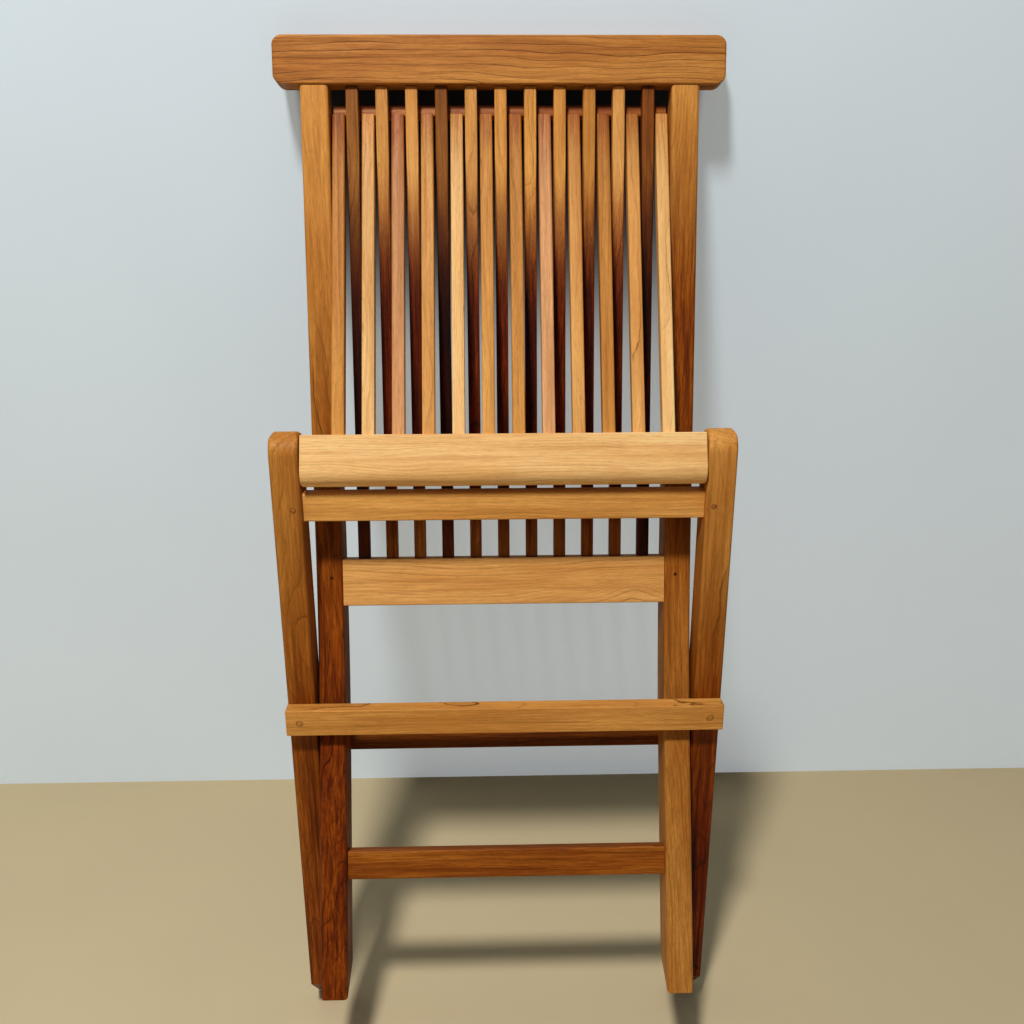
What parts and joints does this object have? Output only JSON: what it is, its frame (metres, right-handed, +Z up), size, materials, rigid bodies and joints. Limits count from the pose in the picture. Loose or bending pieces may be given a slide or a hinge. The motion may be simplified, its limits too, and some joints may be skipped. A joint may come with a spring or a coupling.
{
  "type": "folding chair",
  "caption": "Slatted wooden folding chair, stored folded flat: crossed back and leg frames, and a seat whose slats pass between the back slats.",
  "frame": {"origin": "bottom centre of the folded chair's bounding box, on the floor that its rear feet stand on", "axes": "+X to the right seen from the front, +Y to the rear, towards the wall it leans on, +Z up"},
  "size_m": [0.4598, 0.2958, 1.0718],
  "materials": {
    "pale": "oiled, satin, pale sapwood",
    "honey": "oiled, satin, honey heartwood",
    "golden": "oiled, satin, golden heartwood",
    "pink": "oiled, satin, pinkish heartwood",
    "brown": "oiled, satin, brown heartwood",
    "dark": "oiled, satin, dark heartwood",
    "brass": "satin",
    "steel": "satin"
  },
  "bodies": {
    "back_frame": {"crest_rail": "honey", "stile_left": "golden", "back_peg_left": "dark", "stile_right": "golden", "back_peg_right": "dark", "back_slat_01": "brown", "back_slat_02": "honey", "back_slat_03": "honey", "back_slat_04": "brown", "back_slat_05": "honey", "back_slat_06": "golden", "back_slat_07": "golden", "back_slat_08": "golden", "back_slat_09": "golden", "back_slat_10": "honey", "back_slat_11": "brown", "lower_back_rail": "honey", "front_stretcher": "golden", "rear_brace": "brown", "fold_bolt_left": "brass", "fold_washer_left": "steel", "fold_bolt_right": "brass", "fold_washer_right": "steel"},
    "leg_frame": {"leg_left": "golden", "leg_peg_left": "pink", "rail_plug_left": "honey", "leg_right": "golden", "leg_peg_right": "pink", "rail_plug_right": "honey", "leg_top_rail": "golden", "leg_front_rail": "golden", "seat_bolt_left": "brass", "seat_washer_left": "steel", "seat_bolt_right": "brass", "seat_washer_right": "steel"},
    "seat": {"seat_front_rail": "pale", "seat_slat_01": "golden", "seat_slat_02": "pale", "seat_slat_03": "pink", "seat_slat_04": "honey", "seat_slat_05": "pale", "seat_slat_06": "golden", "seat_slat_07": "golden", "seat_slat_08": "pink", "seat_slat_09": "honey", "seat_slat_10": "golden", "seat_slat_11": "honey", "seat_slat_12": "pale", "seat_rear_rail": "honey"}
  },
  "joints": [
    {"name": "leg_fold", "type": "hinge", "parent": "back_frame", "child": "leg_frame", "pos_m": [0, -0.02445, 0.36], "axis": [1, 0, 0], "range_deg": [0, 60]},
    {"name": "seat_fold", "type": "hinge", "parent": "leg_frame", "child": "seat", "pos_m": [0, -0.01044, 0.68901], "axis": [-1, 0, 0], "range_deg": [0, 120]}
  ],
  "couplings": [
    {"joint": "seat_fold", "follows": "leg_fold", "ratio": 2}
  ]
}
